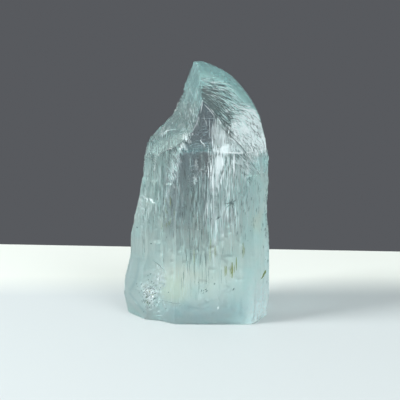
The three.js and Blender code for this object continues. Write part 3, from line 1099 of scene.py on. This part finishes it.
# The dark star: x and z, rays, their length, width and depth in mm, and how unevenly they
# are spread, as a share of the gap between two.
STAR = (5.7, 21.4)
STAR_RAYS = 11
STAR_LENGTHS = (0.4, 1.1)
STAR_WIDTH = 0.1
STAR_DEPTH = -0.05
STAR_SCATTER = 0.3

# Ochre needles: x, lowest and highest z, and width, in mm.
NEEDLES = [
    (4.75, 8.7, 10.6, 0.16), (4.98, 8.9, 11, 0.12), (5.62, 8.7, 10.6, 0.12),
    (5.93, 8.4, 11.2, 0.3), (6.3, 9.2, 10.8, 0.12), (6.65, 9.7, 12.1, 0.16),
    (7.78, 11.8, 14.5, 0.15), (8, 12.4, 13.8, 0.08), (-0.5, 9.9, 13.4, 0.1),
    (2.2, 11.3, 14.1, 0.1), (3.05, 12.1, 14.1, 0.12), (2.3, 13.4, 15.4, 0.08),
]
NEEDLE_THICKNESS = 0.08


def front_surface(tree, x, z):
    """The point of the front surface at this x and z (mm), with its outward normal."""
    start = Vector((x, -RAY_START, z)) * MM
    point, normal, _, _ = tree.ray_cast(start, Vector((0, 1, 0)))
    if point is None:
        return None, None
    return point / MM, normal


def path_on_front(tree, stations):
    """Points and normals of the front at the stations, up to where it turns away."""
    path = []
    for x, z in stations:
        point, normal = front_surface(tree, x, z)
        if point is None or normal.y > FACING_LIMIT:
            break
        path.append((point, normal))
    return path


class Slivers:
    """Many thin closed slivers, gathered into one mesh. Lengths are in mm."""

    def __init__(self):
        self.vertices = []
        self.faces = []

    def add(self, path, side, width, thickness=SLIVER_THICKNESS):
        """A sliver with a diamond section along the path, as wide as width to the side."""
        count = len(path)
        first = len(self.vertices)
        least, fullness = SLIVER_TAPER
        across = side.normalized()
        for number, point in enumerate(path):
            share = number / (count - 1)
            taper = max(least, math.sin(math.pi * share)) ** fullness
            ahead = path[min(number + 1, count - 1)] - path[max(number - 1, 0)]
            flat = ahead.cross(across).normalized()
            for turn in (across * width, flat * thickness, -across * width, -flat * thickness):
                self.vertices.append((point + turn * taper / 2) * MM)
        for number in range(count - 1):
            low = first + number * 4
            for corner in range(4):
                after = (corner + 1) % 4
                self.faces.append((low + corner, low + after, low + 4 + after, low + 4 + corner))
        self.faces.append((first + 3, first + 2, first + 1, first))
        last = first + (count - 1) * 4
        self.faces.append((last, last + 1, last + 2, last + 3))

    def finish(self, name, material):
        inside = np.clip(self.vertices, LOW, HIGH)
        piece = add_object(name, inside.tolist(), self.faces, material)
        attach(piece, "root")


def fan_point(angle, share):
    """x and z in mm of a place in the fan, given its angle in degrees and share across."""
    angles, inner, outer = zip(*FAN)
    near_side = np.interp(angle, angles, inner)
    far_side = np.interp(angle, angles, outer)
    distance = near_side + (far_side - near_side) * share
    turn = math.radians(angle)
    return BREAK_HUB[0] + distance * math.cos(turn), BREAK_HUB[1] + distance * math.sin(turn)


def feather_path(tree, angle, share, sweep, drift, depth):
    parts = [step / FEATHER_STEPS for step in range(FEATHER_STEPS + 1)]
    stations = [fan_point(angle - sweep * part, share + drift * part) for part in parts]
    return [point - normal * depth for point, normal in path_on_front(tree, stations)]


def add_feathers(slivers, tree, draw, kinds, depths):
    for count, angles, shares, sweeps, drifts, widths in kinds:
        for _ in range(count):
            ranges = (angles, shares, sweeps, drifts, depths)
            path = feather_path(tree, *[draw.uniform(*each) for each in ranges])
            width = draw.uniform(*widths)
            if len(path) > 3:
                hub = Vector((BREAK_HUB[0], path[0].y, BREAK_HUB[1]))
                slivers.add(path, (path[0] - hub).normalized(), width)


def stroke_path(tree, x, z, length, depth, lean):
    steps = max(3, round(length / STROKE_STEP))
    runs = [length * (step / steps - 0.5) for step in range(steps + 1)]
    stations = [(x + run * math.sin(lean), z + run * math.cos(lean)) for run in runs]
    return [point + Vector((0, depth, 0)) for point, _ in path_on_front(tree, stations)]


def side_of(lean):
    """The sideways direction of a stroke with this lean."""
    return Vector((math.cos(lean), 0, -math.sin(lean)))


def add_strokes(slivers, tree, draw, kinds):
    for count, middle, spread, lengths, widths, depths, lean in kinds:
        scatter = UPRIGHT_SCATTER if lean == 0 else LEANING_SCATTER
        for _ in range(count):
            x = draw.gauss(middle[0], spread[0])
            z = draw.gauss(middle[1], spread[1])
            if near(SMOOTH, np.array([[x, 0, z]]))[0] > SMOOTH_LIMIT:
                continue
            length = draw.uniform(*lengths)
            width = draw.uniform(*widths)
            depth = draw.uniform(*depths)
            tilt = math.radians(lean + draw.gauss(0, scatter))
            path = stroke_path(tree, x, z, length, depth, tilt)
            # A path that jumps to a face far behind is longer than its stroke.
            if len(path) > 3 and (path[-1] - path[0]).length < 2 * length:
                slivers.add(path, side_of(tilt), width)


def add_curves(slivers, tree, curves):
    for width, points in curves:
        path = []
        for station in np.linspace(0, len(points) - 1, CURVE_STEPS * len(points)):
            x, z = (np.interp(station, range(len(points)), each) for each in zip(*points))
            point, normal = front_surface(tree, x, z)
            if point is not None:
                path.append(point - Vector((0, CURVE_DEPTH, 0)))
        heading = path[-1] - path[0]
        slivers.add(path, Vector((heading.z, 0, -heading.x)), width)


def add_star(slivers, tree, draw):
    for ray in range(STAR_RAYS):
        turn = 2 * math.pi * (ray + draw.uniform(-STAR_SCATTER, STAR_SCATTER)) / STAR_RAYS
        length = draw.uniform(*STAR_LENGTHS)
        x = STAR[0] + 0.5 * length * math.sin(turn)
        z = STAR[1] + 0.5 * length * math.cos(turn)
        path = stroke_path(tree, x, z, length, STAR_DEPTH, turn)
        slivers.add(path, side_of(turn), STAR_WIDTH)


def add_needles(slivers, tree):
    for x, low, high, width in NEEDLES:
        path = stroke_path(tree, x, (low + high) / 2, high - low, 0, 0)
        slivers.add(path, side_of(0), width, NEEDLE_THICKNESS)


# White for the veils of the break and for the painted highlights, glints and rims among the
# white strokes.
def veil_and_highlight_material():
    material = plain_material("veil", *VEIL_AND_HIGHLIGHT)
    feed_shader(material, {"Transmission Weight": VEIL_AND_HIGHLIGHT_TRANSMISSION, "IOR": VEIL_AND_HIGHLIGHT_IOR})
    return material


def add_whites(tree, draw):
    veil = veil_and_highlight_material()
    feathers = Slivers()
    add_feathers(feathers, tree, draw, WHITE_FEATHERS, WHITE_DEPTHS)
    feathers.finish("white_feathers", veil)
    strokes = Slivers()
    add_strokes(strokes, tree, draw, WHITE_STROKES)
    add_curves(strokes, tree, WHITE_CURVES)
    strokes.finish("white_strokes", veil)


def add_milky_strokes(tree, draw):
    slivers = Slivers()
    add_feathers(slivers, tree, draw, MILKY_FEATHERS, MILKY_DEPTHS)
    add_strokes(slivers, tree, draw, MILKY_STROKES)
    slivers.finish("milky_strokes", plain_material("milk", *MILK))


def add_hollow_tubes(tree, draw):
    slivers = Slivers()
    add_feathers(slivers, tree, draw, DARK_FEATHERS, DARK_DEPTHS)
    add_strokes(slivers, tree, draw, DARK_STROKES)
    add_curves(slivers, tree, DARK_CURVES)
    add_star(slivers, tree, draw)
    slivers.finish("hollow_tubes", plain_material("hollow_tube", *HOLLOW_TUBE))


def add_stains(tree, draw):
    slivers = Slivers()
    add_needles(slivers, tree)
    add_strokes(slivers, tree, draw, STAIN_STROKES)
    add_curves(slivers, tree, WEDGE)
    slivers.finish("ochre_stains", plain_material("iron_stain", *IRON_STAIN))


def add_inside(mesh):
    """All lines and stains, laid along the front of the crystal's mesh."""
    tree = BVHTree.FromPolygons(
        [tuple(vertex.co) for vertex in mesh.vertices],
        [tuple(polygon.vertices) for polygon in mesh.polygons],
    )
    draw = random.Random(5)
    add_whites(tree, draw)
    add_milky_strokes(tree, draw)
    add_hollow_tubes(tree, draw)
    add_stains(tree, draw)


bpy.context.scene.view_settings.view_transform = "Standard"
add_floor()
add_world()
for light in LIGHTS:
    add_area_light(*light)
add_camera()
add_inside(make_crystal().data)
